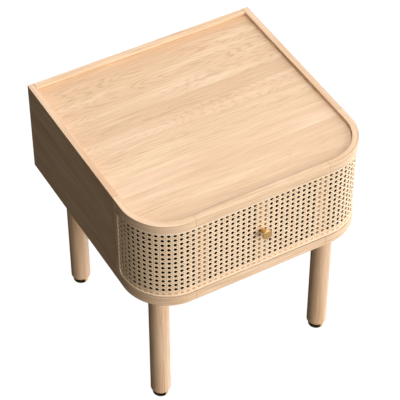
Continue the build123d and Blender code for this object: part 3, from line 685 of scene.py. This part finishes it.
def cane_material(name, pale, warm, dark):
    """Split cane: a glossy pale skin with fine lines along it, in a tint of its own for each strand."""
    material = bpy.data.materials.new(name)
    material.use_nodes = True
    tree = material.node_tree
    shader = tree.nodes["Principled BSDF"]
    layout = add(tree, "UVMap").outputs[0]
    v = add(tree, "SeparateXYZ", {0: layout}).outputs[1]
    own = add(tree, "TexWhiteNoise", {1: maths(tree, "FLOOR", v)}, noise_dimensions="1D").outputs[0]
    length_marks = add(tree, "VectorMath", {0: layout, 1: (0.35, 1.0, 1.0)}, operation="MULTIPLY").outputs[0]
    clouds = add(tree, "TexNoise", {"Vector": length_marks, "Scale": 1.0, "Detail": 2.0}).outputs[0]
    fibre_place = add(tree, "VectorMath", {0: layout, 1: (0.8, 9.0, 1.0)}, operation="MULTIPLY").outputs[0]
    fibres = add(tree, "TexNoise", {"Vector": fibre_place, "Scale": 1.0, "Detail": 3.0}).outputs[0]
    across = maths(tree, "ABSOLUTE", maths(tree, "SUBTRACT", maths(tree, "FRACT", v), 0.5))
    colour = mixed(tree, spread(tree, own, 0.0, 1.0, 0.0, 0.8), pale, warm)
    colour = mixed(tree, spread(tree, clouds, 0.5, 0.75, 0.0, 0.5), colour, warm)
    colour = mixed(tree, spread(tree, fibres, 0.52, 0.75, 0.0, 0.4), colour, dark)
    # Painted shade: each strand is darker along its edges, beside the holes.
    colour = mixed(tree, spread(tree, across, 0.38, 0.5, 0.0, 0.3), colour, dark)
    bump = add(tree, "Bump", {"Strength": 0.4, "Distance": 0.0001, "Height": fibres})
    tree.links.new(colour, shader.inputs["Base Color"])
    tree.links.new(spread(tree, clouds, 0.3, 0.7, 0.38, 0.52), shader.inputs["Roughness"])
    tree.links.new(bump.outputs[0], shader.inputs["Normal"])
    return material


weave_path, weave_length = front_path("weave_path", weave_inset)
upright_cane = cane_material("upright_cane", (0.96, 0.74, 0.52, 1.0), (0.90, 0.65, 0.42, 1.0),
                             (0.52, 0.31, 0.16, 1.0))
slant_cane = cane_material("slanting_cane", (0.98, 0.80, 0.58, 1.0), (0.94, 0.71, 0.48, 1.0),
                           (0.56, 0.36, 0.20, 1.0))

# Each repeat is a count, a step and a shift of the strand's own layout, along the strand then across it.
uprights = []
for side, sign in sides:
    piece = strand("cane_uprights_" + side, weave_pitch, upright_lift, lambda t: -sign * math.sin(t))
    piece.rotation_euler = (0.0, 0.0, math.pi / 2)
    piece.location = (sign * strand_pair - half_columns * weave_pitch, -half_rows * weave_pitch, 0.0)
    bpy.ops.object.transform_apply(location=True, rotation=True, scale=True)
    up = (2 * half_rows + 1, (0.0, weave_pitch, 0.0), (1.0, 0.0))
    beside = (2 * half_columns + 1, (weave_pitch, 0.0, 0.0), (0.0, 1.0))
    weave(piece, up, beside, weave_path, weave_length)
    uprights.append(piece)

crossings = []
for side, sign in (("upper", 1.0), ("lower", -1.0)):
    piece = strand("cane_crossings_" + side, weave_pitch, upright_lift, lambda t: sign * math.sin(t))
    start_x = -(half_columns + 1) * weave_pitch
    piece.location = (start_x, sign * strand_pair - half_rows * weave_pitch, 0.0)
    bpy.ops.object.transform_apply(location=True, rotation=True, scale=True)
    along = (2 * half_columns + 3, (weave_pitch, 0.0, 0.0), (1.0, 0.0))
    above = (2 * half_rows + 1, (0.0, weave_pitch, 0.0), (0.0, 1.0))
    weave(piece, along, above, weave_path, weave_length)
    crossings.append(piece)

slants = []
for side, sign in sides:
    diagonal = weave_pitch * math.sqrt(2.0)
    piece = strand("cane_slants_" + side, diagonal, slant_lift, lambda t: sign * math.cos(t))
    piece.rotation_euler = (0.0, 0.0, sign * math.pi / 4)
    start_x = -sign * (half_columns + 1) * weave_pitch - sign * slant_overrun * weave_pitch
    piece.location = (start_x, -(half_rows + 0.5) * weave_pitch, 0.0)
    bpy.ops.object.transform_apply(location=True, rotation=True, scale=True)
    rising = (2 * half_rows + 3, (sign * weave_pitch, weave_pitch, 0.0), (1.0, 0.0))
    beside = (2 * half_columns + slant_overrun + 4, (sign * weave_pitch, 0.0, 0.0), (0.0, 1.0))
    weave(piece, rising, beside, weave_path, weave_length)
    slants.append(piece)

for piece in uprights + crossings:
    piece.data.materials.append(upright_cane)
for piece in slants:
    piece.data.materials.append(slant_cane)
for piece in uprights + crossings + slants:
    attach(piece, "drawer")
    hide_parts("cane_webbing")


# Bead: a thin strip of pale oak with eased edges, bent round all four sides of the cane. It is glued
# and pinned over the edge of the sheet, and holds it to the frame.
bead_width = 0.004
bead_thickness = 0.0024
bead_inset = 0.0001
bead_cuts = 149
bead_cut_gap = 0.004
bead_path, bead_length = front_path("bead_path", bead_inset + bead_thickness / 2)
bpy.ops.mesh.primitive_plane_add(size=1.0)
bead = bpy.context.object
bead.name = "cane_bead_strip"
bpy.ops.object.mode_set(mode="EDIT")
bpy.ops.transform.resize(value=(bead_length, window_height, 1.0))
bpy.ops.mesh.bevel(offset=end_corner, segments=10, affect="VERTICES")
bpy.ops.mesh.inset(thickness=bead_width)
bpy.ops.mesh.delete(type="FACE")
for step in range(bead_cuts):
    cut_x = (step - bead_cuts // 2) * bead_cut_gap
    bpy.ops.mesh.select_all(action="SELECT")
    bpy.ops.mesh.bisect(plane_co=(cut_x, 0.0, 0.0), plane_no=(1.0, 0.0, 0.0))
bpy.ops.object.mode_set(mode="OBJECT")
wall = bead.modifiers.new("wall", "SOLIDIFY")
wall.thickness = bead_thickness
wall.offset = 0.0
bpy.ops.object.modifier_apply(modifier="wall")
eased = bead.modifiers.new("eased", "BEVEL")
eased.width = 0.001
eased.segments = 4
eased.limit_method = "ANGLE"
eased.angle_limit = math.radians(40.0)
bpy.ops.object.modifier_apply(modifier="eased")
wrap(bead, bead_path, bead_length, window_middle)
bead_oak = wood("oak_bead", "round", 41.0, (0.93, 0.74, 0.55, 1.0), (0.88, 0.68, 0.48, 1.0), pale_oak,
                gap=0.004, ring_share=0.2)
bead.data.materials.append(bead_oak)
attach(bead, "drawer")
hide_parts("cane_bead")


# Knob: one turned piece of brass with a flat face on a flared stem, satin brushed and a little aged.
# A screw from inside the drawer holds it.
knob_brass = metal("satin_aged_brass", (0.72, 0.44, 0.17, 1.0), (0.60, 0.37, 0.15, 1.0), 0.32,
                   scratch=(0.004, 0.0004), tarnish=0.008)
dress(knob_brass, "knob")


# Close: the two lines that the cane and the bead were bent along go.
bpy.data.objects.remove(weave_path)
bpy.data.objects.remove(bead_path)
